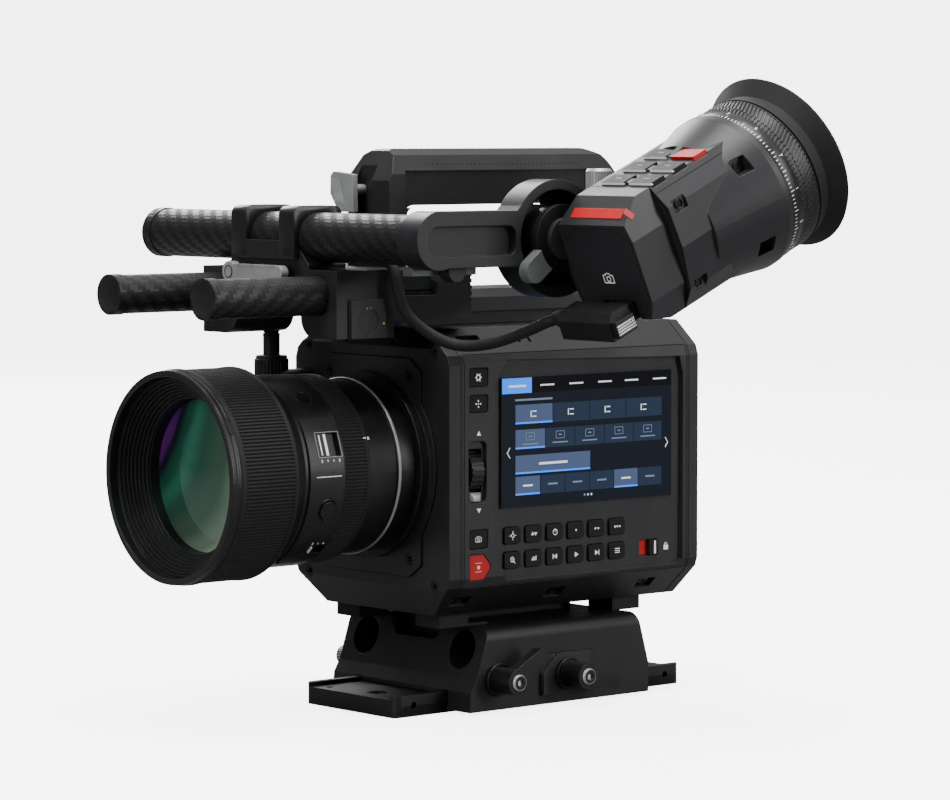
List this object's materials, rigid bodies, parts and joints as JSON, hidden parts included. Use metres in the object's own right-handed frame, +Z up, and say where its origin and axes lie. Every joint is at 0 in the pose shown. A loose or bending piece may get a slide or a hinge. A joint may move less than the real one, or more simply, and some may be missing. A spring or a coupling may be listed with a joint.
{
  "type": "digital cinema camera",
  "caption": "Digital cinema camera on a dovetail base with a prime lens, top handle, support rods and a tilting viewfinder on an arm.",
  "frame": {"origin": "middle of the tripod thread at the underside of the dovetail plate", "axes": "+Z up; -Y the way the lens looks; +X the operator's side with the display"},
  "size_m": [0.2335, 0.2464, 0.249],
  "materials": {
    "body_paint": "fine matt charcoal paint",
    "panel_paint": "fine satin grey paint",
    "black_anodised": "black anodised, satin",
    "silver_metal": "bead-blasted silver",
    "lever_green": "dark grey-green satin paint",
    "black_screws": "blackened steel",
    "carbon_tube": "carbon weave under clear lacquer",
    "black_plastic": "fine matt black plastic",
    "key_plastic": "matt dark grey keys",
    "record_red": "satin red",
    "black_rubber": "soft matt rubber",
    "grip_leather": "woven black grip",
    "display_glass": "glossy dark glass over the picture",
    "optical_glass": "coated optical glass",
    "board": "green board with metal sink"
  },
  "bodies": {
    "plate": {"dovetail_plate": "black_anodised"},
    "camera": {"base_block": "body_paint", "clamp_pad": "panel_paint", "foot_pads": "black_rubber", "chassis": "body_paint", "front_plate": "body_paint", "mount_plate": "body_paint", "side_panel": "panel_paint", "display": "display_glass", "rear_panel": "panel_paint", "far_panel": "panel_paint", "battery_plate": "black_plastic", "sensor_block": "silver_metal", "main_board": "board", "body_screws": "black_screws", "top_rail": "panel_paint", "rod_block": "body_paint", "handle_frame": "body_paint", "handle_grip": "grip_leather", "lower_rods": "carbon_tube", "camera_plug": "black_plastic", "lens_barrel": "black_anodised", "lens_elements": "optical_glass", "viewfinder_cable": "black_rubber"},
    "carriage": {"carriage": "body_paint"},
    "cross_rod": {"cross_rod": "carbon_tube"},
    "arm": {"viewfinder_arm": "body_paint"},
    "viewfinder": {"viewfinder_front": "panel_paint", "viewfinder_shell": "panel_paint", "viewfinder_eyepiece": "optical_glass", "viewfinder_plug": "black_plastic", "eyecup": "black_rubber"},
    "base_lever": {"base_lever": "black_anodised"},
    "jaw_lever": {"jaw_lever": "black_anodised"},
    "fan_rotor": {"fan_rotor": "black_plastic"},
    "handle_paddle": {"handle_paddle": "silver_metal"},
    "focus_ring": {"focus_ring": "black_anodised"},
    "aperture_ring": {"aperture_ring": "black_anodised"},
    "focus_switch": {"focus_switch": "black_plastic"},
    "hold_button": {"hold_button": "black_plastic"},
    "click_switch": {"click_switch": "black_plastic"},
    "menu_key": {"menu_key": "key_plastic"},
    "focus_key": {"focus_key": "key_plastic"},
    "still_key": {"still_key": "key_plastic"},
    "record_key": {"record_key": "record_red"},
    "keys_upper_row": {"keys_upper_row": "key_plastic"},
    "keys_lower_row": {"keys_lower_row": "key_plastic"},
    "thumb_wheel": {"thumb_wheel": "black_anodised"},
    "lock_slider": {"lock_slider": "key_plastic"},
    "carriage_lever": {"carriage_lever": "silver_metal"},
    "arm_lever": {"arm_lever": "lever_green"},
    "tilt_lever": {"tilt_lever": "lever_green"},
    "lock_knob": {"lock_knob": "silver_metal"},
    "dioptre_ring": {"dioptre_ring": "black_anodised"},
    "finder_key_front_left": {"finder_key_front_left": "key_plastic"},
    "finder_key_front_right": {"finder_key_front_right": "key_plastic"},
    "finder_key_middle_left": {"finder_key_middle_left": "key_plastic"},
    "finder_key_middle_right": {"finder_key_middle_right": "key_plastic"},
    "finder_key_rear_left": {"finder_key_rear_left": "key_plastic"},
    "finder_record_key": {"finder_record_key": "record_red"}
  },
  "joints": [
    {"name": "base_slide", "type": "slide", "parent": "plate", "child": "camera", "axis": [0, 1, 0], "range_m": [-0.02, 0.02]},
    {"name": "base_lever_turn", "type": "hinge", "parent": "camera", "child": "base_lever", "pos_m": [0.05, -0.036, 0.0134], "axis": [1, 0, 0], "range_deg": [0, 75]},
    {"name": "jaw_lever_turn", "type": "hinge", "parent": "camera", "child": "jaw_lever", "pos_m": [0.05, -0.001, 0.013], "axis": [1, 0, 0], "range_deg": [0, 90]},
    {"name": "fan_turn", "type": "hinge", "parent": "camera", "child": "fan_rotor", "pos_m": [0, 0.0575, 0.0685], "axis": [0, 1, 0], "continuous": true},
    {"name": "paddle_turn", "type": "hinge", "parent": "camera", "child": "handle_paddle", "pos_m": [-0.007, -0.0701, 0.2058], "axis": [0, 1, 0], "range_deg": [0, 75]},
    {"name": "carriage_slide", "type": "slide", "parent": "camera", "child": "carriage", "axis": [0, 1, 0], "range_m": [-0.044, 0.001], "deforming": ["viewfinder_cable"]},
    {"name": "carriage_lever_turn", "type": "hinge", "parent": "carriage", "child": "carriage_lever", "pos_m": [-0.0165, -0.121, 0.1745], "axis": [0, -1, 0], "range_deg": [0, 95]},
    {"name": "cross_rod_slide", "type": "slide", "parent": "carriage", "child": "cross_rod", "axis": [1, 0, 0], "range_m": [-0.02, 0.04], "deforming": ["viewfinder_cable"]},
    {"name": "arm_swing", "type": "hinge", "parent": "cross_rod", "child": "arm", "pos_m": [0.086, -0.107, 0.1882], "axis": [1, 0, 0], "range_deg": [-30, 100], "deforming": ["viewfinder_cable"]},
    {"name": "arm_lever_turn", "type": "hinge", "parent": "arm", "child": "arm_lever", "pos_m": [0.077, -0.0935, 0.1766], "axis": [1, 0, 0], "range_deg": [0, 75]},
    {"name": "tilt_lever_turn", "type": "hinge", "parent": "viewfinder", "child": "tilt_lever", "pos_m": [0.094, -0.0487, 0.1882], "axis": [1, 0, 0], "range_deg": [-45, 0]},
    {"name": "lock_knob_turn", "type": "hinge", "parent": "arm", "child": "lock_knob", "pos_m": [0.08475, -0.021, 0.21], "axis": [0, 0, 1], "range_deg": [-180, 180]},
    {"name": "viewfinder_tilt", "type": "hinge", "parent": "arm", "child": "viewfinder", "pos_m": [0.1, -0.0487, 0.1882], "axis": [1, 0, 0], "range_deg": [-45, 20], "deforming": ["viewfinder_cable"]},
    {"name": "dioptre_turn", "type": "hinge", "parent": "viewfinder", "child": "dioptre_ring", "pos_m": [0.116, 0.02652, 0.20856], "axis": [0, 0.9135, 0.4067], "range_deg": [-60, 60]},
    {"name": "key_front_left_press", "type": "slide", "parent": "viewfinder", "child": "finder_key_front_left", "axis": [0, 0.4067, -0.9135], "range_m": [0, 0.0007], "stiffness_N_per_m": 100},
    {"name": "key_front_right_press", "type": "slide", "parent": "viewfinder", "child": "finder_key_front_right", "axis": [0, 0.4067, -0.9135], "range_m": [0, 0.0007], "stiffness_N_per_m": 100},
    {"name": "key_middle_left_press", "type": "slide", "parent": "viewfinder", "child": "finder_key_middle_left", "axis": [0, 0.4067, -0.9135], "range_m": [0, 0.0007], "stiffness_N_per_m": 100},
    {"name": "key_middle_right_press", "type": "slide", "parent": "viewfinder", "child": "finder_key_middle_right", "axis": [0, 0.4067, -0.9135], "range_m": [0, 0.0007], "stiffness_N_per_m": 100},
    {"name": "key_rear_left_press", "type": "slide", "parent": "viewfinder", "child": "finder_key_rear_left", "axis": [0, 0.4067, -0.9135], "range_m": [0, 0.0007], "stiffness_N_per_m": 100},
    {"name": "finder_record_press", "type": "slide", "parent": "viewfinder", "child": "finder_record_key", "axis": [0, 0.4067, -0.9135], "range_m": [0, 0.0007], "stiffness_N_per_m": 100},
    {"name": "focus_ring_turn", "type": "hinge", "parent": "camera", "child": "focus_ring", "pos_m": [0, -0.147, 0.0975], "axis": [0, 1, 0], "continuous": true},
    {"name": "aperture_ring_turn", "type": "hinge", "parent": "camera", "child": "aperture_ring", "pos_m": [0, -0.1014, 0.0975], "axis": [0, 1, 0], "range_deg": [-35, 35]},
    {"name": "focus_switch_slide", "type": "slide", "parent": "camera", "child": "focus_switch", "axis": [0, 1, 0], "range_m": [0, 0.005]},
    {"name": "hold_button_press", "type": "slide", "parent": "camera", "child": "hold_button", "axis": [-0.9432, 0, 0.3322], "range_m": [0, 0.0007], "stiffness_N_per_m": 100},
    {"name": "click_switch_slide", "type": "slide", "parent": "camera", "child": "click_switch", "axis": [0, 1, 0], "range_m": [0, 0.004]},
    {"name": "menu_key_press", "type": "slide", "parent": "camera", "child": "menu_key", "axis": [-1, 0, 0], "range_m": [0, 0.0008], "stiffness_N_per_m": 100},
    {"name": "focus_key_press", "type": "slide", "parent": "camera", "child": "focus_key", "axis": [-1, 0, 0], "range_m": [0, 0.0008], "stiffness_N_per_m": 100},
    {"name": "still_key_press", "type": "slide", "parent": "camera", "child": "still_key", "axis": [-1, 0, 0], "range_m": [0, 0.0008], "stiffness_N_per_m": 100},
    {"name": "record_key_press", "type": "slide", "parent": "camera", "child": "record_key", "axis": [-1, 0, 0], "range_m": [0, 0.0008], "stiffness_N_per_m": 100},
    {"name": "keys_upper_row_press", "type": "slide", "parent": "camera", "child": "keys_upper_row", "axis": [-1, 0, 0], "range_m": [0, 0.0008], "stiffness_N_per_m": 200},
    {"name": "keys_lower_row_press", "type": "slide", "parent": "camera", "child": "keys_lower_row", "axis": [-1, 0, 0], "range_m": [0, 0.0008], "stiffness_N_per_m": 200},
    {"name": "thumb_wheel_turn", "type": "hinge", "parent": "camera", "child": "thumb_wheel", "pos_m": [0.0403, -0.0509, 0.0965], "axis": [0, 1, 0], "continuous": true},
    {"name": "lock_slide", "type": "slide", "parent": "camera", "child": "lock_slider", "axis": [0, -1, 0], "range_m": [0, 0.0046]}
  ]
}
